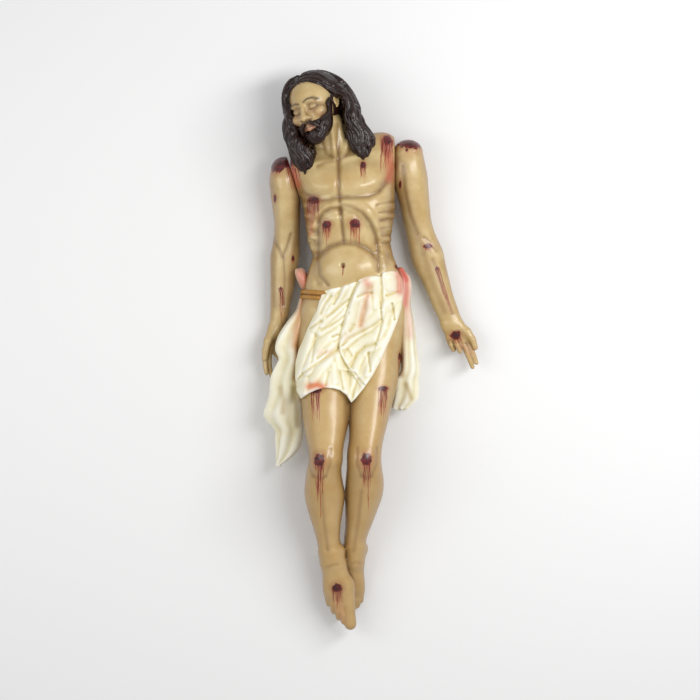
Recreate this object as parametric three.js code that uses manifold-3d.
// A life-size carved and painted wooden figure of a dead man in a loincloth, lying on its back.
// Units are millimetres. +Y runs from the feet to the head, +X to the figure's left, +Z up from the floor.
// Each form is a distance field: a function of a point that is negative inside the wood. The forms are
// blended as a carver blends masses, meshed on a lattice, thinned to few triangles, and cut flat where the
// arms meet the shoulders.
import * as THREE from "three";
import Module from "manifold-3d";

// Driving dimensions
const LATTICE_STEP = 5.5; // spacing of the lattice that samples the body
const ARM_LATTICE_STEP = 4; // finer, because the fingers are thin
const BODY_TRIANGLES = 6600;
const ARM_TRIANGLES = 1300;
const HAND_CLEARANCE = 7;
const SAW_ALLOWANCE = 3; // wood left beyond a joint for the saw to take off
const JOINT_GAP = 0.3; // between an arm's flat inner face and the shoulder
const HEAD_CENTRE = new THREE.Vector3(-168, 752, 168); // level with the eyes, in the middle of the skull
const HEAD_SIZE = 0.93; // of a head 228 mm from chin to crown
const HEAD_TURN = { roll: 22, yaw: -28, pitch: -6 }; // degrees: leaning and turned to its right, chin raised
const LEFT_JOINT = { point: [76, 560], outward: [1, 0] }; // seen from above, the flat shoulder joints
const RIGHT_JOINT = { point: [-235, 535], outward: [-0.956, -0.293] };
const CLOTH_THICKNESS = 13; // how far the loincloth stands off the body
const ROPE_RADIUS = 7.5;
const FLOOR = 0;

// Sections across a limb: [y, x of centre, z of centre, half width, half depth]
const TORSO_SECTIONS = [
  [628, -87, 111, 143, 49],
  [597, -90, 109, 166, 79],
  [560, -82, 110, 165, 100],
  [519, -76, 111, 156, 113],
  [473, -68, 114, 146, 117],
  [426, -64, 117, 140, 114],
  [380, -64, 114, 133, 102],
  [333, -62, 113, 127, 91],
  [299, -53, 114, 125, 88],
  [268, -51, 115, 135, 91],
  [225, -50, 108, 149, 96],
  [163, -50, 100, 158, 93],
  [101, -54, 96, 163, 88],
  [39, -60, 92, 160, 82],
  [-11, -62, 88, 150, 70],
];
const RIGHT_LEG_SECTIONS = [
  [132, -135, 99, 79, 85],
  [39, -140, 105, 84, 88],
  [-23, -141, 116, 84, 90],
  [-85, -139, 134, 80, 88],
  [-147, -137, 156, 75, 82],
  [-209, -136, 177, 70, 75],
  [-271, -136, 206, 58, 66],
  [-302, -136, 220, 53, 62],
  [-330, -136, 223, 52, 63],
  [-358, -141, 208, 53, 67],
  [-395, -142, 185, 58, 69],
  [-439, -140, 167, 62, 65],
  [-488, -138, 153, 54, 55],
  [-535, -134, 143, 43, 45],
  [-581, -129, 131, 36, 37],
  [-618, -121, 122, 37, 36],
  [-649, -114, 114, 39, 38],
];
const LEFT_LEG_SECTIONS = [
  [132, 28, 99, 79, 85],
  [39, 23, 102, 76, 86],
  [-23, 19, 110, 75, 88],
  [-85, 14, 125, 73, 87],
  [-147, 5, 145, 67, 81],
  [-209, -4, 167, 60, 75],
  [-271, -13, 195, 53, 67],
  [-302, -18, 209, 53, 63],
  [-330, -19, 212, 53, 64],
  [-358, -18, 196, 55, 70],
  [-395, -17, 170, 59, 72],
  [-439, -19, 148, 58, 68],
  [-488, -27, 128, 50, 60],
  [-535, -36, 111, 41, 51],
  [-581, -46, 94, 35, 44],
  [-618, -47, 82, 33, 42],
  [-649, -49, 70, 29, 42],
];
const RIGHT_FOOT_SECTIONS = [
  [-618, -120, 119, 36, 39],
  [-649, -114, 110, 39, 42],
  [-690, -105, 108, 42, 34],
  [-725, -98, 104, 46, 28],
  [-752, -97, 98, 42, 22],
  [-772, -90, 93, 32, 14],
];
const LEFT_FOOT_SECTIONS = [
  [-606, -48, 67, 35, 57],
  [-643, -50, 57, 33, 52],
  [-684, -54, 50, 36, 42],
  [-724, -57, 44, 40, 32],
  [-748, -58, 39, 38, 24],
  [-766, -60, 33, 30, 14],
];
const RIGHT_ARM_SECTIONS = [
  [567, -266, 99, 41, 52],
  [535, -266, 98, 46, 58],
  [488, -262, 92, 46, 56],
  [442, -259, 82, 43, 52],
  [395, -257, 71, 40, 47],
  [349, -259, 60, 42, 44],
  [302, -264, 55, 46, 45],
  [256, -268, 53, 42, 41],
  [209, -272, 52, 38, 36],
  [163, -277, 50, 33, 32],
  [116, -282, 46, 29, 30],
  [79, -291, 42, 24, 28],
];
const LEFT_ARM_SECTIONS = [
  [620, 118, 98, 46, 51],
  [590, 117, 97, 53, 58],
  [550, 121, 94, 57, 59],
  [504, 130, 87, 52, 55],
  [457, 139, 77, 47, 49],
  [411, 146, 67, 45, 45],
  [364, 159, 58, 47, 44],
  [318, 174, 53, 53, 45],
  [271, 185, 51, 52, 41],
  [225, 203, 50, 45, 36],
  [178, 220, 49, 40, 31],
  [132, 238, 47, 38, 27],
  [98, 252, 45, 35, 23],
];
const RIGHT_TAIL_SECTIONS = [
  [165, -209, 100, 9, 16],
  [132, -214, 106, 14, 24],
  [101, -227, 110, 24, 30],
  [70, -240, 112, 33, 31],
  [39, -249, 112, 40, 31],
  [8, -252, 111, 43, 31],
  [-20, -246, 110, 37, 30],
  [-40, -250, 109, 41, 31],
  [-70, -257, 108, 47, 32],
  [-101, -258, 106, 50, 34],
  [-132, -259, 104, 50, 36],
  [-163, -264, 101, 54, 38],
  [-191, -267, 98, 59, 38],
  [-212, -262, 97, 54, 36],
  [-240, -249, 96, 42, 33],
  [-271, -250, 96, 40, 30],
  [-302, -256, 97, 33, 26],
  [-327, -268, 98, 22, 20],
  [-348, -284, 99, 8, 12],
];
const LEFT_TAIL_SECTIONS = [
  [256, 92, 112, 13, 22],
  [235, 102, 110, 20, 32],
  [209, 105, 106, 24, 38],
  [178, 104, 100, 24, 42],
  [147, 104, 96, 22, 42],
  [101, 108, 94, 26, 40],
  [54, 112, 94, 28, 38],
  [8, 117, 95, 27, 37],
  [-30, 121, 96, 29, 36],
  [-58, 121, 96, 31, 36],
  [-85, 112, 96, 36, 34],
  [-116, 112, 96, 38, 31],
  [-147, 108, 96, 37, 27],
  [-170, 95, 97, 26, 18],
];

// Relief on the front of the trunk: [height, width, ...points of the stroke]. A gouge has negative height.
const TRUNK_STROKES = [
  [-5, 9, [-99, 592], [-98, 540], [-95, 480], [-92, 430], [-86, 375], [-82, 345]],
  [-6, 13, [-210, 470], [-170, 478], [-130, 484], [-97, 476], [-60, 484], [-20, 487], [30, 500], [58, 525]],
  [6, 12, [-97, 452], [-135, 445], [-163, 425], [-180, 395], [-190, 350], [-190, 315]],
  [6, 12, [-90, 452], [-45, 448], [-12, 430], [15, 395], [32, 350], [38, 310]],
  [
    -6, 13, [-95, 432], [-130, 425], [-152, 408], [-162, 375], [-165, 330], [-170, 300], [-176, 250],
    [-160, 215],
  ],
  [-6, 13, [-88, 432], [-45, 424], [-18, 402], [2, 370], [16, 330], [20, 300], [26, 262]],
  [-7, 10, [-160, 300], [-130, 322], [-90, 335], [-50, 338], [-18, 325], [8, 305]],
  [7, 12, [-192, 578], [-150, 586], [-112, 590]],
  [7, 12, [-84, 598], [-50, 606], [0, 618]],
  [7, 9, [-108, 598], [-112, 640], [-118, 690]],
  [7, 9, [-90, 602], [-66, 650], [-52, 700]],
];
const BELLY = { centre: [-75, 265], radii: [82, 62], height: 12 };
const NAVEL = { centre: [-84, 268], radius: 7, depth: 10 };
const PECTORALS = [
  { centre: [-150, 530], radii: [62, 42], height: 10 },
  { centre: [-28, 540], radii: [68, 45], height: 10 },
];
const SHOULDER_BLADES = [
  { centre: [-150, 515], radii: [42, 62], height: 9 },
  { centre: [0, 525], radii: [42, 62], height: 9 },
];
const RIB_COUNT = 6;
const RIB_PITCH = 35; // along the body
const RIB_HEIGHT = 3.2;

// Loincloth outline seen from above, and the strokes of its folds
const APRON_OUTLINE = [
  [-154, 172], [-148, 186], [-122, 196], [-98, 200], [-74, 208], [-56, 214], [-34, 224], [-15, 232], [8, 236],
  [34, 234], [38, 246], [60, 250], [84, 252], [100, 225], [102, 178], [97, 138], [84, 95], [64, 46], [46, 8],
  [28, -32], [6, -72], [-20, -110], [-44, -140], [-58, -154], [-74, -130], [-92, -116], [-112, -110],
  [-140, -108], [-164, -114], [-186, -124], [-212, -142], [-226, -120], [-232, -70], [-230, -30], [-220, 10],
  [-205, 42], [-192, 76], [-178, 104], [-164, 130],
];
const FOLD_STROKES = [
  [-11, 8, [-58, 208], [-64, 164], [-82, 96], [-94, 46], [-99, 18]],
  [-11, 8, [-99, 18], [-90, -24], [-72, -55], [-56, -68], [-50, -120]],
  [-11, 8, [-99, 16], [-122, -8], [-160, -36], [-190, -56], [-212, -66], [-224, -100]],
  [-12, 6, [37, 240], [36, 194], [34, 148], [31, 125], [28, 70], [22, 32]],
  [-7, 7, [-80, 204], [-88, 168], [-106, 144]],
  [-7, 7, [-112, 194], [-128, 168], [-148, 148]],
  [-8, 7, [-62, 156], [-94, 130], [-130, 106], [-166, 82], [-180, 76]],
  [-8, 6, [-38, 176], [-20, 182], [0, 184]],
  [-9, 5, [70, 150], [68, 126], [76, 100]],
  [-8, 8, [22, 70], [-16, 44], [-56, 26], [-88, 12]],
  [-7, 8, [5, 22], [-32, 0], [-74, -24]],
  [-7, 7, [-6, -2], [-2, -24], [6, -58]],
  [-7, 6, [88, 214], [90, 194], [76, 186]],
  [-6, 7, [-150, 20], [-162, -30], [-176, -60]],
  [-6, 7, [-120, -30], [-128, -70], [-132, -104]],
  [-6, 7, [-84, -52], [-80, -86], [-76, -116]],
  [9, 9, [98, 162], [76, 152], [46, 132], [30, 106], [0, 76], [-46, 54], [-86, 24]],
  [8, 9, [88, 106], [56, 54], [30, 8], [6, -38], [-30, -104]],
  [8, 9, [-16, 224], [-42, 188], [-56, 132], [-68, 70], [-84, 26]],
  [8, 9, [-108, 188], [-130, 150], [-156, 106], [-180, 54], [-204, -22], [-222, -84]],
  [7, 9, [-78, 126], [-114, 84], [-140, 52]],
  [7, 8, [-120, 46], [-134, 8], [-142, -36]],
  [8, 9, [-100, -6], [-116, -46], [-150, -84], [-186, -104]],
  [6, 8, [60, 240], [64, 200], [50, 168]],
];

// Small maths shared by the fields
const clamp = (value, low, high) => Math.min(high, Math.max(low, value));
const degrees = THREE.MathUtils.degToRad;

function smoothMin(a, b, k) {
  const h = Math.max(k - Math.abs(a - b), 0) / k;
  return Math.min(a, b) - (h * h * k) / 4;
}
const smoothMax = (a, b, k) => -smoothMin(-a, -b, k);

// A limb: rounded sections whose centre and size follow a cubic through the stated ones, with domed ends.
function loft(sections, { power = 2, cap = 20 } = {}) {
  const rows = [...sections].sort((a, b) => a[0] - b[0]);
  const spline = new THREE.CubicInterpolant(
    rows.map((row) => row[0]),
    rows.flatMap((row) => row.slice(1)),
    4,
    new Float64Array(4),
  );
  const low = rows[0][0];
  const high = rows.at(-1)[0];
  const step = 3;
  const count = Math.ceil((high - low) / step);
  const table = new Float64Array((count + 2) * 4);
  for (let i = 0; i <= count + 1; i++) {
    table.set(spline.evaluate(Math.min(low + i * step, high)), i * 4);
  }
  const sectionAt = (y) => {
    const t = (clamp(y, low, high) - low) / step;
    const i = Math.floor(t);
    const f = t - i;
    return [0, 1, 2, 3].map((k) => table[i * 4 + k] * (1 - f) + table[i * 4 + 4 + k] * f);
  };
  const field = (x, y, z) => {
    const t = (clamp(y, low, high) - low) / step;
    const i = Math.floor(t) * 4;
    const f = t - Math.floor(t);
    const w = table[i + 2] * (1 - f) + table[i + 6] * f;
    const d = table[i + 3] * (1 - f) + table[i + 7] * f;
    const u = Math.abs(x - table[i] * (1 - f) - table[i + 4] * f) / w;
    const v = Math.abs(z - table[i + 1] * (1 - f) - table[i + 5] * f) / d;
    const s = (y < low ? low - y : y > high ? y - high : 0) / cap;
    const r = power === 2 ? Math.hypot(u, v) : (u ** power + v ** power) ** (1 / power);
    const total = Math.hypot(r, s);
    if (r < 0.05 && s === 0) return -Math.min(w, d);
    const slope = r ** (1 - power) * Math.hypot(u ** (power - 1) / w, v ** (power - 1) / d) || 1 / w;
    return (total - 1) / Math.hypot((slope * r) / total, s / total / cap);
  };
  return Object.assign(field, { sectionAt });
}

// An ellipsoid mass, turned by degrees about Z
function ellipsoid([cx, cy, cz], [rx, ry, rz], turn = 0) {
  const c = Math.cos(degrees(turn));
  const s = Math.sin(degrees(turn));
  return (x, y, z) => {
    const dx = x - cx;
    const dy = y - cy;
    const u = (dx * c + dy * s) / rx;
    const v = (dy * c - dx * s) / ry;
    const w = (z - cz) / rz;
    const k = Math.hypot(u, v, w);
    return k < 0.01 ? -Math.min(rx, ry, rz) : (k * (k - 1)) / Math.hypot(u / rx, v / ry, w / rz);
  };
}

// Rounded bones through a row of points, each point as [x, y, z, radius]
function bones(points, k = 0) {
  return (x, y, z) => {
    let best = Infinity;
    for (let i = 0; i + 1 < points.length; i++) {
      const [ax, ay, az, ar] = points[i];
      const [bx, by, bz, br] = points[i + 1];
      const dx = bx - ax;
      const dy = by - ay;
      const dz = bz - az;
      const t = clamp(((x - ax) * dx + (y - ay) * dy + (z - az) * dz) / (dx * dx + dy * dy + dz * dz), 0, 1);
      const d = Math.hypot(x - ax - dx * t, y - ay - dy * t, z - az - dz * t) - ar - (br - ar) * t;
      best = k ? smoothMin(best === Infinity ? d + k : best, d, k) : Math.min(best, d);
    }
    return best;
  };
}

// Masses blended one after another with a fillet of k millimetres
function blend(k, ...fields) {
  return (x, y, z) => fields.reduce((d, field) => smoothMin(d, field(x, y, z), k), 1e4);
}

// Where far from its box, a field is not worked out: the distance to the box is enough.
function within(low, high, field, margin = 45) {
  return (x, y, z) => {
    const away = Math.hypot(
      Math.max(low[0] - x, 0, x - high[0]),
      Math.max(low[1] - y, 0, y - high[1]),
      Math.max(low[2] - z, 0, z - high[2]),
    );
    return away > margin ? away : field(x, y, z);
  };
}

// Distance from a point to a stroke drawn through points, all seen from above
function strokeDistance(x, y, points) {
  let best = Infinity;
  for (let i = 0; i + 1 < points.length; i++) {
    const [ax, ay] = points[i];
    const dx = points[i + 1][0] - ax;
    const dy = points[i + 1][1] - ay;
    const t = clamp(((x - ax) * dx + (y - ay) * dy) / (dx * dx + dy * dy), 0, 1);
    best = Math.min(best, Math.hypot(x - ax - dx * t, y - ay - dy * t));
  }
  return best;
}

// The summed height of strokes at a point, each with the bell-shaped section of a gouge or a bead
function strokeRelief(x, y, strokes) {
  let height = 0;
  for (const [amount, width, ...points] of strokes) {
    const d = strokeDistance(x, y, points) / width;
    if (d < 3) height += amount * Math.exp(-d * d);
  }
  return height;
}

// A soft round swelling seen from above
function swelling(x, y, { centre, radii, height }) {
  const q = ((x - centre[0]) / radii[0]) ** 2 + ((y - centre[1]) / radii[1]) ** 2;
  return height * Math.exp(-q * q * 0.8);
}

// Signed distance to an outline seen from above, negative inside
function outline(points) {
  return (x, y) => {
    let inside = false;
    for (let i = 0, j = points.length - 1; i < points.length; j = i++) {
      const [ax, ay] = points[i];
      const [bx, by] = points[j];
      if (ay > y !== by > y && x < ((bx - ax) * (y - ay)) / (by - ay) + ax) inside = !inside;
    }
    const edge = strokeDistance(x, y, [...points, points[0]]);
    return inside ? -edge : edge;
  };
}

// Trunk with its relief
const torso = loft(TORSO_SECTIONS, { power: 2.35, cap: 22 });

function trunkRelief(x, y) {
  let height = strokeRelief(x, y, TRUNK_STROKES) + swelling(x, y, BELLY);
  for (const pectoral of PECTORALS) height += swelling(x, y, pectoral);
  const navel = Math.hypot(x - NAVEL.centre[0], y - NAVEL.centre[1]) / NAVEL.radius;
  height -= NAVEL.depth * Math.exp(-navel * navel);
  return height;
}

// Ribs show on the flanks, outside the costal arch, between the chest and the waist.
function ribRelief(x, y) {
  const [centre, , halfWidth] = torso.sectionAt(y);
  const side = Math.abs(x - centre) / halfWidth;
  const along = (y - 290 + side * 12) / RIB_PITCH;
  if (along < 0 || along > RIB_COUNT) return 0;
  const fade = clamp((side - 0.55) / 0.2, 0, 1) * Math.sin((Math.PI * along) / RIB_COUNT) ** 0.5;
  return RIB_HEIGHT * Math.cos(along * 2 * Math.PI) * fade;
}

const shoulders = blend(
  30,
  ellipsoid([38, 600, 104], [66, 76, 56], 8),
  ellipsoid([-218, 562, 104], [56, 66, 56], -22),
  bones([[-200, 600, 104, 34], [-95, 628, 108, 46], [40, 640, 104, 34]]),
);
const neck = bones([[-92, 590, 108, 62], [-112, 650, 122, 55], [-132, 700, 140, 52]]);

const trunk = (x, y, z) => {
  const base = blend(26, torso, shoulders, neck)(x, y, z);
  const facing = clamp((z - 112) / 45, 0, 1);
  const back = clamp((105 - z) / 45, 0, 1);
  let backRelief = -7 * Math.exp(-(((x + 75) / 16) ** 2)) * clamp((y - 60) / 80, 0, 1);
  for (const blade of SHOULDER_BLADES) backRelief += swelling(x, y, blade);
  return base - trunkRelief(x, y) * facing - ribRelief(x, y) * Math.max(facing, back) - backRelief * back;
};

// Legs and feet
const kneecap = (x, y, z) => ellipsoid([x, y, z], [25, 32, 16]);
const toes = (list) => blend(5, ...list.map((toe) => bones(toe)));
const RIGHT_TOES = [
  [[-72, -715, 100, 23], [-69, -768, 92, 22], [-64, -812, 86, 19], [-61, -843, 82, 19]],
  [[-88, -720, 104, 16], [-89, -772, 96, 12], [-84, -812, 94, 10], [-81, -836, 82, 9.5]],
  [[-102, -715, 104, 16], [-104, -764, 94, 12], [-100, -800, 92, 10], [-97, -823, 80, 9.5]],
  [[-116, -712, 100, 16], [-118, -754, 91, 12], [-115, -784, 88, 10], [-113, -804, 78, 9]],
  [[-130, -705, 96, 14], [-132, -740, 87, 12], [-130, -765, 84, 10], [-128, -781, 76, 9]],
];
const LEFT_TOES = [
  [[-80, -715, 44, 21], [-86, -756, 36, 18], [-87, -790, 30, 15], [-88, -814, 26, 15]],
  [[-66, -715, 46, 16], [-68, -756, 38, 12], [-67, -788, 36, 10], [-67, -806, 25, 9.5]],
  [[-54, -715, 44, 15], [-53, -754, 37, 12], [-52, -782, 34, 10], [-52, -800, 24, 9]],
  [[-44, -712, 42, 14], [-40, -748, 35, 12], [-39, -774, 32, 10], [-39, -791, 23, 9]],
  [[-36, -706, 38, 13], [-29, -738, 32, 11], [-28, -760, 29, 9.5], [-29, -776, 22, 9]],
];
const rightLeg = blend(
  14,
  loft(RIGHT_LEG_SECTIONS, { cap: 30 }),
  kneecap(-132, -318, 262),
  loft(RIGHT_FOOT_SECTIONS, { power: 2.2, cap: 12 }),
  bones([[-120, -612, 104, 33], [-116, -622, 74, 26]]),
  bones([[-96, -612, 124, 17], [-96, -616, 112, 15]]),
  toes(RIGHT_TOES),
);
const leftLeg = blend(
  14,
  loft(LEFT_LEG_SECTIONS, { cap: 30 }),
  kneecap(-16, -318, 252),
  loft(LEFT_FOOT_SECTIONS, { power: 2.2, cap: 12 }),
  bones([[-49, -608, 60, 33], [-50, -618, 26, 27]]),
  bones([[-24, -610, 70, 15], [-24, -616, 60, 14]]),
  toes(LEFT_TOES),
);
const legs = (x, y, z) => smoothMin(rightLeg(x, y, z), leftLeg(x, y, z), 6);

// Head, in its own frame: +X to its left, +Y to the crown, +Z out of the face
const headToBody = new THREE.Matrix4()
  .makeRotationZ(degrees(HEAD_TURN.roll))
  .multiply(new THREE.Matrix4().makeRotationY(degrees(HEAD_TURN.yaw)))
  .multiply(new THREE.Matrix4().makeRotationX(degrees(HEAD_TURN.pitch)))
  .scale(new THREE.Vector3(HEAD_SIZE, HEAD_SIZE, HEAD_SIZE))
  .setPosition(HEAD_CENTRE);
const bodyToHead = headToBody.clone().invert();

function mirrored(make) {
  return [-1, 1].map(make);
}

const skull = blend(
  16,
  ellipsoid([0, 28, -8], [75, 84, 94]),
  ellipsoid([0, -34, 26], [56, 70, 58]),
  ellipsoid([0, -92, 56], [24, 20, 22]),
  ...mirrored((side) => ellipsoid([side * 44, -26, 60], [20, 18, 22])),
);
const face = (x, y, z) => {
  const mirrorX = Math.abs(x);
  let d = skull(x, y, z);
  d = smoothMin(d, ellipsoid([0, 17, 74], [50, 11, 13])(x, y, z), 12);
  d = smoothMax(d, -ellipsoid([31, -2, 96], [18, 13, 16])(mirrorX, y, z), 12);
  d = smoothMin(d, ellipsoid([30, -3, 72], [15, 12, 14])(mirrorX, y, z), 5);
  d = smoothMin(d, bones([[0, 12, 82, 7], [0, -16, 96, 8], [0, -36, 106, 11]])(x, y, z), 9);
  d = smoothMin(d, bones([[9, -38, 97, 8], [12, -38, 92, 8]])(mirrorX, y, z), 6);
  d = smoothMin(d, bones([[0, -62, 92, 7], [20, -68, 82, 4]])(mirrorX, y, z), 6);
  d = smoothMin(d, bones([[0, -73, 91, 7], [17, -71, 82, 4]])(mirrorX, y, z), 6);
  return d;
};

// Beard: a thick skin over the jaw, cheeks and upper lip, open round the mouth
const moustache = mirrored((side) =>
  bones([[side * 5, -52, 97, 7], [side * 22, -62, 92, 7], [side * 36, -80, 80, 6]]),
);
const beard = (x, y, z) => {
  const mirrorX = Math.abs(x);
  const curl = 3 * Math.sin(x * 0.26 + 1.5 * Math.sin(y * 0.17)) * Math.sin(y * 0.23 + z * 0.19);
  const shell = skull(x, y, z) - 10 - curl;
  const top = y + 48 - clamp(mirrorX - 30, 0, 40) * 0.9;
  const mouth = -ellipsoid([0, -72, 100], [25, 18, 30])(x, y, z);
  let d = smoothMax(smoothMax(shell, top, 8), mouth, 6);
  d = smoothMax(d, -z + 2, 10);
  d = smoothMin(d, ellipsoid([0, -108, 62], [34, 24, 26])(x, y, z) - curl, 12);
  return moustache.reduce((best, lock) => smoothMin(best, lock(x, y, z), 5), d);
};

// Hair: a cap parted down the middle, a curtain each side of the face, and masses that hang on the shoulders
const hairCap = (x, y, z) => {
  const parting = 6 * Math.exp(-((x / 7) ** 2)) * clamp((z + 60) / 60, 0, 1);
  const shell = ellipsoid([0, 28, -20], [88, 95, 108])(x, y, z) + parting;
  const faceWindow = ellipsoid([0, -12, 112], [64, 86, 72])(x, y, z);
  const neckWindow = y + 70 + clamp(z, -80, 0) * 0.5;
  return smoothMax(smoothMax(shell, -faceWindow, 14), -neckWindow, 16);
};
const hairCurtain = bones([[16, 96, 62, 12], [56, 66, 56, 17], [77, 14, 38, 19], [80, -50, 20, 23]], 8);
const HAIR_MASSES = [
  [
    [770, -232, 150, 12, 44],
    [740, -244, 150, 18, 52],
    [700, -248, 156, 26, 54],
    [660, -234, 166, 36, 50],
    [628, -213, 172, 44, 44],
    [595, -206, 174, 42, 38],
    [565, -200, 176, 28, 30],
    [548, -197, 176, 12, 18],
  ],
  [
    [815, -106, 160, 18, 48],
    [790, -82, 154, 22, 58],
    [760, -66, 150, 24, 62],
    [730, -58, 148, 28, 62],
    [695, -50, 146, 38, 58],
    [660, -38, 146, 48, 52],
    [630, -30, 158, 38, 42],
    [606, -26, 172, 22, 30],
    [590, -25, 176, 10, 16],
  ],
  [
    [790, -144, 104, 84, 50],
    [740, -152, 88, 96, 52],
    [690, -150, 76, 100, 46],
    [640, -134, 62, 98, 40],
    [596, -120, 46, 86, 30],
    [568, -112, 36, 60, 16],
  ],
];
const LOCK_PITCH = 27; // across the strands
const LOCK_HEIGHT = 4;

// Strands run down the masses and wave from side to side, so the ripple is counted across them.
function lockRelief(x, y, z) {
  const across = x * 0.8 + z * 0.6 + 9 * Math.sin(y * 0.05 + x * 0.02);
  return LOCK_HEIGHT * Math.cos((across * 2 * Math.PI) / LOCK_PITCH);
}
const hairMasses = blend(16, ...HAIR_MASSES.map((sections) => loft(sections, { cap: 20 })));
const lockedHair = (x, y, z) => hairMasses(x, y, z) - lockRelief(x, y, z);
const hair = within([-300, 535, 20], [40, 850, 235], lockedHair, 20);

const point = new THREE.Vector3();
const headOnly = (x, y, z) => {
  point.set(x, y, z).applyMatrix4(bodyToHead);
  const { x: u, y: v, z: w } = point;
  const strands = lockRelief(w * 0.4, 0, w + 0.3 * Math.abs(u));
  const locks = smoothMin(hairCap(u, v, w), hairCurtain(Math.abs(u), v, w), 12) - strands * 0.7;
  return HEAD_SIZE * smoothMin(Math.min(face(u, v, w), beard(u, v, w)), locks, 2);
};
const head = within([-290, 600, 30], [-20, 880, 300], headOnly);

// Loincloth: an apron in front, a wrap behind, two hanging tails, the knot and the rope that holds it
const apronOutline = outline(APRON_OUTLINE);
const pelvis = (x, y, z) => smoothMin(smoothMin(rightLeg(x, y, z), leftLeg(x, y, z), 50), torso(x, y, z), 26);
const apron = (x, y, z) => {
  const hem = clamp((60 + apronOutline(x, y)) / 60, 0, 1);
  const stand = CLOTH_THICKNESS + 9 * hem * clamp((100 - y) / 120, 0, 1);
  const shell = pelvis(x, y, z) - stand - strokeRelief(x, y, FOLD_STROKES);
  return smoothMax(smoothMax(shell, apronOutline(x, y), 9), 96 - z, 10);
};
const wrap = (x, y, z) => {
  const pleats = 5 * Math.sin(x * 0.1 + y * 0.035) * clamp((z - 4) / 20, 0, 1);
  const shell = pelvis(x, y, z) - 9 - pleats;
  const top = y - 215 - (x + 60) * 0.2;
  const hem = -y - 128 + 10 * Math.sin(x * 0.05);
  return smoothMax(smoothMax(shell, top, 9), Math.max(hem, z - 108 + Math.max(0, -x - 60) * 0.25), 9);
};

function pleated(tail, pleatCount, depth) {
  return (x, y, z) => {
    const [cx, cz, halfWidth, halfDepth] = tail.sectionAt(y);
    const angle = Math.atan2((z - cz) / halfDepth, (x - cx) / halfWidth);
    const share = clamp(halfWidth / 40, 0.2, 1);
    return tail(x, y, z) - depth * share * Math.cos(pleatCount * angle + y * 0.014);
  };
}
const rightTail = pleated(loft(RIGHT_TAIL_SECTIONS, { cap: 8 }), 5, 5);
const leftTail = pleated(loft(LEFT_TAIL_SECTIONS, { cap: 8 }), 6, 4);
const knot = blend(
  8,
  ellipsoid([-208, 228, 92], [17, 36, 44], 12),
  ellipsoid([-221, 240, 100], [10, 22, 30], 20),
);

// A strand of the rope round the bare hip, from under the apron to behind the knot
function ropeStrand(yFront, yBack) {
  const path = [];
  for (let angle = 40; angle <= 215; angle += 12.5) {
    const y = THREE.MathUtils.lerp(yFront, yBack, clamp((angle - 80) / 70, 0, 1));
    const [cx, cz, halfWidth, halfDepth] = torso.sectionAt(y);
    const c = Math.cos(degrees(angle));
    const s = Math.sin(degrees(angle));
    const reach = (Math.abs(c) ** 2.35 + Math.abs(s) ** 2.35) ** (-1 / 2.35);
    path.push([cx + (halfWidth + 4) * c * reach, y, cz + (halfDepth + 4) * s * reach, ROPE_RADIUS]);
  }
  return bones(path);
}
const rope = within([-220, 140, 0], [10, 200, 215], blend(2, ropeStrand(174, 187), ropeStrand(160, 172)), 20);

const cloth = within(
  [-330, -370, -10],
  [160, 290, 250],
  (x, y, z) => {
    const wrapped = smoothMin(apron(x, y, z), wrap(x, y, z), 6);
    const tails = Math.min(rightTail(x, y, z), leftTail(x, y, z));
    return Math.min(smoothMin(wrapped, tails, 5), smoothMin(knot(x, y, z), rope(x, y, z), 3));
  },
  30,
);

// The flat joint that an arm meets at the shoulder, as a half space seen from above: positive beyond it
const jointSide = ({ point: [px, py], outward: [nx, ny] }) => (x, y) => (x - px) * nx + (y - py) * ny;
const leftSide = jointSide(LEFT_JOINT);
const rightSide = jointSide(RIGHT_JOINT);

// Hands: the palm and fingers in a frame of a (towards the fingers), b (to the thumb) and c (out of the palm)
const HAND_SCALE = 0.92;
const FINGERS = [
  { across: 27, from: 78, bones: [40, 24, 19], radius: 9, curl: [8, 12, 8] },
  { across: 9, from: 82, bones: [44, 27, 20], radius: 9.2, curl: [14, 14, 8] },
  { across: -9, from: 79, bones: [40, 25, 19], radius: 8.8, curl: [62, 88, 55] },
  { across: -28, from: 72, bones: [32, 20, 17], radius: 8.4, curl: [66, 90, 60] },
];
const THUMB = [[14, 20, 4, 17], [48, 38, 8, 14], [80, 44, 11, 11.5], [108, 42, 12, 9.5]];

function hand(wrist, towardsFingers, outOfPalm) {
  const a = new THREE.Vector3(...towardsFingers).normalize();
  const c = new THREE.Vector3(...outOfPalm).projectOnPlane(a).normalize();
  const b = new THREE.Vector3().crossVectors(c, a).multiplyScalar(wrist[0] > 0 ? 1 : -1);
  const place = ([u, v, w, r]) => {
    const p = new THREE.Vector3(...wrist);
    p.addScaledVector(a, u * HAND_SCALE);
    p.addScaledVector(b, v * HAND_SCALE);
    p.addScaledVector(c, w * HAND_SCALE);
    return [p.x, p.y, p.z, r * HAND_SCALE];
  };
  const digits = FINGERS.map(({ across, from, bones: lengths, radius, curl }) => {
    const path = [[from - 40, across * 0.8, -2, radius + 3], [from, across, -2, radius + 1]];
    let angle = 0;
    lengths.forEach((length, i) => {
      angle += degrees(curl[i]);
      const [u, v, w] = path.at(-1);
      path.push([u + length * Math.cos(angle), v * 0.98, w + length * Math.sin(angle), radius - i * 0.9]);
    });
    return bones(path.map(place));
  });
  const palm = [-26, -8, 8, 24].map((v) => {
    const path = [[4, v * 0.55, 0, 15], [44, v, 1, 14], [72, v * 1.12, -1, 12]];
    return bones(path.map(place));
  });
  return blend(4, blend(9, ...palm, bones(THUMB.map(place), 4)), ...digits);
}

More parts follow.
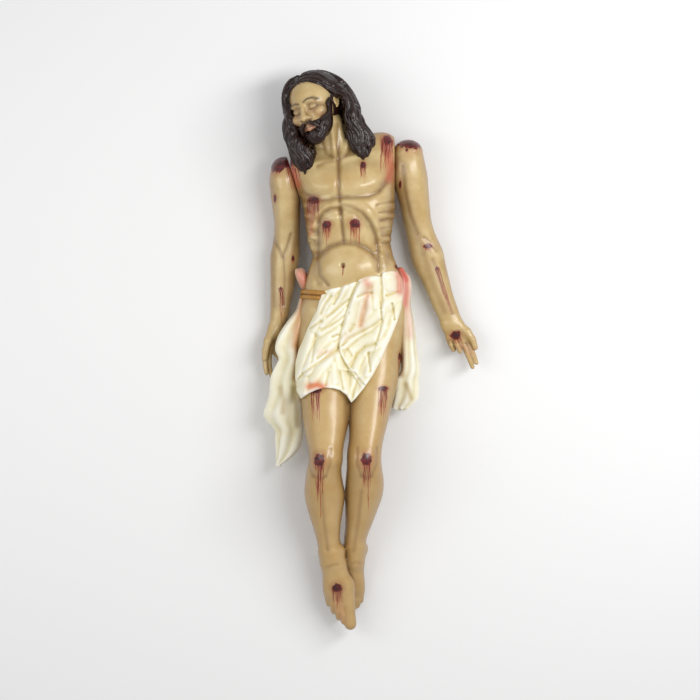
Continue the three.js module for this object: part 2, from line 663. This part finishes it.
function arm(sections, side, handField) {
  const limb = loft(sections, { power: 2.1, cap: 40 });
  return (x, y, z) => {
    const whole = smoothMin(limb(x, y, z), handField(x, y, z), 14);
    return y > 430 ? smoothMax(whole, -side(x, y) - SAW_ALLOWANCE, 8) : whole;
  };
}
const rightHand = hand([-292, 78, 41], [-0.2, -0.96, -0.05], [0.74, -0.2, 0.62]);
const leftHand = hand([254, 92, 44], [0.4, -0.91, -0.02], [-0.12, 0, 1]);
const rightArm = arm(RIGHT_ARM_SECTIONS, rightSide, rightHand);
const leftArm = arm(LEFT_ARM_SECTIONS, leftSide, leftHand);

// The hanging cloth is hollowed where the right hand lies against it.
const handSpace = within([-340, -90, 0], [-220, 200, 110], rightArm, 20);

const body = (x, y, z) => {
  const flesh = smoothMin(trunk(x, y, z), within([-240, -880, 0], [120, 140, 300], legs)(x, y, z), 26);
  let d = smoothMin(flesh, smoothMin(head(x, y, z), hair(x, y, z), 10), 8);
  d = Math.min(d, cloth(x, y, z));
  if (y > 430 && y < 720) {
    d = smoothMax(d, leftSide(x, y) - SAW_ALLOWANCE, 8);
    d = smoothMax(d, rightSide(x, y) - SAW_ALLOWANCE, 8);
  }
  return smoothMax(d, HAND_CLEARANCE - handSpace(x, y, z), 4);
};

// Lattice mesher. It follows the surface from cube to cube, so it meets one closed skin and no stray islands.
// Every cube is six tetrahedra round its long diagonal, and neighbouring cubes cut their shared face alike.
const CUBE_PATHS = [[1, 3], [1, 5], [2, 3], [2, 6], [4, 5], [4, 6]]; // corners passed from 0 to 7
const CUBE_SIDES = [[0, 2, 4, 6], [1, 3, 5, 7], [0, 1, 4, 5], [2, 3, 6, 7], [0, 1, 2, 3], [4, 5, 6, 7]];
const LATTICE_SPAN = 2048; // lattice points allowed along each axis

function surfaceOf(field, start, step) {
  const half = LATTICE_SPAN / 2;
  const numberOf = (i, j, k) => ((k + half) * LATTICE_SPAN + j + half) * LATTICE_SPAN + i + half;
  const values = new Map();
  const valueAt = (i, j, k) => {
    const number = numberOf(i, j, k);
    let value = values.get(number);
    if (value === undefined) {
      value = field(i * step, j * step, k * step) || 1e-6;
      values.set(number, value);
    }
    return value;
  };
  const positions = [];
  const faces = [];
  const crossings = new Map();
  const crossing = (p, q) => {
    const [lower, upper] = p.corner < q.corner ? [p, q] : [q, p];
    const name = lower.number * 8 + (upper.corner ^ lower.corner);
    let index = crossings.get(name);
    if (index === undefined) {
      const t = clamp(lower.value / (lower.value - upper.value), 0.08, 0.92);
      index = positions.length / 3;
      for (let axis = 0; axis < 3; axis++) {
        positions.push((lower.cell[axis] + (upper.cell[axis] - lower.cell[axis]) * t) * step);
      }
      crossings.set(name, index);
    }
    return index;
  };
  const addFace = (a, b, c, inner) => {
    const [ax, ay, az] = positions.slice(a * 3, a * 3 + 3);
    const [ux, uy, uz] = [positions[b * 3] - ax, positions[b * 3 + 1] - ay, positions[b * 3 + 2] - az];
    const [vx, vy, vz] = [positions[c * 3] - ax, positions[c * 3 + 1] - ay, positions[c * 3 + 2] - az];
    const [ix, iy, iz] = [inner.cell[0] * step - ax, inner.cell[1] * step - ay, inner.cell[2] * step - az];
    const side = (uy * vz - uz * vy) * ix + (uz * vx - ux * vz) * iy + (ux * vy - uy * vx) * iz;
    faces.push(side < 0 ? [a, b, c] : [a, c, b]);
  };
  const tetrahedron = (corners) => {
    const inside = corners.filter((c) => c.value < 0);
    const outside = corners.filter((c) => c.value >= 0);
    if (inside.length === 2) {
      const [a, b] = inside;
      const [c, d] = outside;
      const ring = [crossing(a, c), crossing(a, d), crossing(b, d), crossing(b, c)];
      addFace(ring[0], ring[1], ring[2], b);
      addFace(ring[0], ring[2], ring[3], b);
    } else if (inside.length === 1 || inside.length === 3) {
      const [lone, others] = inside.length === 1 ? [inside[0], outside] : [outside[0], inside];
      addFace(...others.map((other) => crossing(lone, other)), inside[0]);
    }
  };
  const first = start.map((value) => Math.round(value / step));
  while (valueAt(first[0], first[1], first[2] + 1) < 0) first[2]++;
  const waiting = [first];
  const met = new Set([numberOf(...first)]);
  while (waiting.length) {
    const cube = waiting.pop();
    const corners = Array.from({ length: 8 }, (_, corner) => {
      const cell = [cube[0] + (corner & 1), cube[1] + ((corner >> 1) & 1), cube[2] + (corner >> 2)];
      return { corner, cell, number: numberOf(...cell), value: valueAt(...cell) };
    });
    for (const [p, q] of CUBE_PATHS) tetrahedron([corners[0], corners[p], corners[q], corners[7]]);
    CUBE_SIDES.forEach((side, n) => {
      const insideCount = side.filter((corner) => corners[corner].value < 0).length;
      if (insideCount === 0 || insideCount === 4) return;
      const next = [...cube];
      next[n >> 1] += n % 2 ? 1 : -1;
      const number = numberOf(...next);
      if (met.has(number)) return;
      met.add(number);
      waiting.push(next);
    });
  }
  return { positions, faces };
}

// A heap of edges, cheapest first
class EdgeHeap {
  items = [];
  push(item) {
    const { items } = this;
    let i = items.push(item) - 1;
    while (i > 0 && items[(i - 1) >> 1].cost > item.cost) {
      items[i] = items[(i - 1) >> 1];
      i = (i - 1) >> 1;
    }
    items[i] = item;
  }
  pop() {
    const { items } = this;
    const top = items[0];
    const last = items.pop();
    let i = 0;
    while (2 * i + 1 < items.length) {
      let child = 2 * i + 1;
      if (child + 1 < items.length && items[child + 1].cost < items[child].cost) child++;
      if (items[child].cost >= last.cost) break;
      items[i] = items[child];
      i = child;
    }
    if (items.length) items[i] = last;
    return top;
  }
}

// Quadric error of a point: how far it lies from the planes it stands for
function quadricError(q, [x, y, z]) {
  const square = q[0] * x * x + q[4] * y * y + q[7] * z * z;
  const cross = q[1] * x * y + q[2] * x * z + q[5] * y * z;
  return square + 2 * (cross + q[3] * x + q[6] * y + q[8] * z) + q[9];
}

// The point where the summed squared distance to the planes is least, or nothing where they are near parallel
function flattest(q) {
  const xx = q[4] * q[7] - q[5] * q[5];
  const xy = q[2] * q[5] - q[1] * q[7];
  const xz = q[1] * q[5] - q[2] * q[4];
  const determinant = q[0] * xx + q[1] * xy + q[2] * xz;
  if (Math.abs(determinant) < 1e-3 * (q[0] + q[4] + q[7]) ** 3) return undefined;
  const yy = q[0] * q[7] - q[2] * q[2];
  const yz = q[1] * q[2] - q[0] * q[5];
  const zz = q[0] * q[4] - q[1] * q[1];
  return [
    -(xx * q[3] + xy * q[6] + xz * q[8]) / determinant,
    -(xy * q[3] + yy * q[6] + yz * q[8]) / determinant,
    -(xz * q[3] + yz * q[6] + zz * q[8]) / determinant,
  ];
}

// Thins a closed mesh by collapsing the edges that change its shape least.
function simplify({ positions, faces }, target) {
  const count = positions.length / 3;
  const quadrics = new Float64Array(count * 10);
  const around = Array.from({ length: count }, () => []); // the faces round each vertex
  const alive = new Uint8Array(faces.length).fill(1);
  const version = new Uint32Array(count);
  const corner = (i) => [positions[i * 3], positions[i * 3 + 1], positions[i * 3 + 2]];
  const normalOf = (a, b, c) => {
    const [ux, uy, uz] = [b[0] - a[0], b[1] - a[1], b[2] - a[2]];
    const [vx, vy, vz] = [c[0] - a[0], c[1] - a[1], c[2] - a[2]];
    return [uy * vz - uz * vy, uz * vx - ux * vz, ux * vy - uy * vx];
  };
  faces.forEach((face, f) => {
    const [a, b, c] = face.map(corner);
    const n = normalOf(a, b, c);
    const area = Math.hypot(...n) || 1e-9;
    const [x, y, z] = n.map((value) => value / area);
    const w = -(x * a[0] + y * a[1] + z * a[2]);
    const plane = [x * x, x * y, x * z, x * w, y * y, y * z, y * w, z * z, z * w, w * w];
    for (const i of face) {
      for (let k = 0; k < 10; k++) quadrics[i * 10 + k] += plane[k] * area;
      around[i].push(f);
    }
  });
  const neighbours = (i) => {
    const found = [];
    for (const f of around[i]) {
      for (const j of faces[f]) if (j !== i && !found.includes(j)) found.push(j);
    }
    return found;
  };
  const heap = new EdgeHeap();
  const q = new Float64Array(10);
  const consider = (i, j) => {
    for (let k = 0; k < 10; k++) q[k] = quadrics[i * 10 + k] + quadrics[j * 10 + k];
    const p = corner(i);
    const r = corner(j);
    const middle = [(p[0] + r[0]) / 2, (p[1] + r[1]) / 2, (p[2] + r[2]) / 2];
    let place = middle;
    let cost = quadricError(q, middle);
    const solved = flattest(q);
    if (solved) {
      const away = Math.hypot(solved[0] - middle[0], solved[1] - middle[1], solved[2] - middle[2]);
      if (away < 2 * Math.hypot(p[0] - r[0], p[1] - r[1], p[2] - r[2])) {
        place = solved;
        cost = quadricError(q, solved);
      }
    }
    heap.push({ cost, i, j, place, stamp: version[i] + version[j] });
  };
  for (let i = 0; i < count; i++) {
    for (const j of neighbours(i)) {
      if (i < j) consider(i, j);
    }
  }
  const turnsOver = (i, j, place) => {
    for (const f of around[i]) {
      const face = faces[f];
      if (face.includes(j)) continue;
      const [a, b, c] = face.map(corner);
      const [movedA, movedB, movedC] = [a, b, c].map((old, k) => (face[k] === i ? place : old));
      const before = normalOf(a, b, c);
      const after = normalOf(movedA, movedB, movedC);
      const size = Math.hypot(...after);
      const agreement = before[0] * after[0] + before[1] * after[1] + before[2] * after[2];
      if (size < 0.5 || agreement < 0.25 * Math.hypot(...before) * size) return true;
    }
    return false;
  };
  let left = faces.length;
  while (left > target && heap.items.length) {
    const { i, j, place, stamp } = heap.pop();
    if (!around[i].length || !around[j].length || version[i] + version[j] !== stamp) continue;
    const theirs = neighbours(j);
    if (neighbours(i).filter((n) => theirs.includes(n)).length !== 2) continue;
    if (turnsOver(i, j, place) || turnsOver(j, i, place)) continue;
    for (let k = 0; k < 3; k++) positions[i * 3 + k] = place[k];
    for (let k = 0; k < 10; k++) quadrics[i * 10 + k] += quadrics[j * 10 + k];
    for (const f of around[j]) {
      if (faces[f].includes(i)) {
        alive[f] = 0;
        left--;
        for (const n of faces[f]) if (n !== j) around[n] = around[n].filter((g) => g !== f);
      } else {
        faces[f] = faces[f].map((n) => (n === j ? i : n));
        around[i].push(f);
      }
    }
    around[j] = [];
    version[i] += version[j] + 1;
    for (const n of neighbours(i)) consider(i, n);
  }
  return { positions, faces: faces.filter((_, f) => alive[f]) };
}

// Closed meshes as solids that can be cut, and back
const wasm = await Module();
wasm.setup();

function solidOf({ positions, faces }) {
  const renumbered = new Map();
  const vertices = [];
  const triangles = faces.flat().map((i) => {
    if (!renumbered.has(i)) {
      renumbered.set(i, renumbered.size);
      vertices.push(positions[i * 3], positions[i * 3 + 1], positions[i * 3 + 2]);
    }
    return renumbered.get(i);
  });
  const mesh = new wasm.Mesh({
    numProp: 3,
    vertProperties: new Float32Array(vertices),
    triVerts: new Uint32Array(triangles),
  });
  return new wasm.Manifold(mesh);
}

// A box as a solid, standing on the far side of a plane, used as a saw cut
function sawBox(size, centre, turn = 0) {
  const geometry = new THREE.BoxGeometry(...size).rotateZ(turn).translate(...centre);
  const position = geometry.getAttribute("position");
  const index = new Map();
  const positions = [];
  const numbers = Array.from({ length: position.count }, (_, i) => {
    const p = [position.getX(i), position.getY(i), position.getZ(i)];
    const key = p.map((value) => value.toFixed(3)).join();
    if (!index.has(key)) {
      index.set(key, positions.length / 3);
      positions.push(...p);
    }
    return index.get(key);
  });
  const order = geometry.index.array;
  const cornersOf = (f) => [0, 1, 2].map((k) => numbers[order[f * 3 + k]]);
  const faces = Array.from({ length: order.length / 3 }, (_, f) => cornersOf(f));
  return solidOf({ positions, faces });
}

// Cuts away what lies beyond a shoulder joint: beyond it for the body, within it for an arm
function jointSaw({ point: [px, py], outward: [nx, ny] }, towards) {
  const depth = 120;
  const shift = (towards * (depth - JOINT_GAP)) / 2;
  return sawBox([depth, 260, 400], [px + nx * shift, py + ny * shift, 100], Math.atan2(ny, nx));
}

const floorSaw = sawBox([3000, 3000, 400], [0, 0, FLOOR - 200]);

function carve(field, start, step, triangles) {
  return solidOf(simplify(surfaceOf(field, start, step), triangles));
}

function geometryOf(solid) {
  const { vertProperties, triVerts, numProp } = solid.getMesh();
  const positions = new Float32Array((vertProperties.length / numProp) * 3);
  for (let i = 0; i < positions.length / 3; i++) {
    positions.set(vertProperties.subarray(i * numProp, i * numProp + 3), i * 3);
  }
  const geometry = new THREE.BufferGeometry();
  geometry.setAttribute("position", new THREE.BufferAttribute(positions, 3));
  geometry.setIndex(new THREE.BufferAttribute(new Uint32Array(triVerts), 1));
  geometry.computeVertexNormals();
  return geometry;
}

// Painted flesh, under a glossy varnish
const flesh = new THREE.MeshStandardMaterial({ color: 0xc9ab78, roughness: 0.35, metalness: 0 });

function piece(name, solid) {
  const mesh = new THREE.Mesh(geometryOf(solid), flesh.clone());
  mesh.name = name;
  return mesh;
}

const bodySolid = carve(body, [-60, 300, 110], LATTICE_STEP, BODY_TRIANGLES)
  .subtract(jointSaw(LEFT_JOINT, 1))
  .subtract(jointSaw(RIGHT_JOINT, 1))
  .subtract(floorSaw);
const rightArmSolid = carve(rightArm, [-260, 400, 70], ARM_LATTICE_STEP, ARM_TRIANGLES)
  .subtract(jointSaw(RIGHT_JOINT, -1))
  .subtract(floorSaw);
const leftArmSolid = carve(leftArm, [146, 411, 67], ARM_LATTICE_STEP, ARM_TRIANGLES)
  .subtract(jointSaw(LEFT_JOINT, -1))
  .subtract(floorSaw);

const figure = new THREE.Group();
figure.name = "dead_christ_figure";
figure.add(piece("body", bodySolid), piece("right_arm", rightArmSolid), piece("left_arm", leftArmSolid));

// The origin goes to the middle of the figure's footprint on the floor.
const middle = new THREE.Box3().setFromObject(figure).getCenter(new THREE.Vector3());
figure.position.set(-middle.x, -middle.y, -FLOOR);

export default figure;
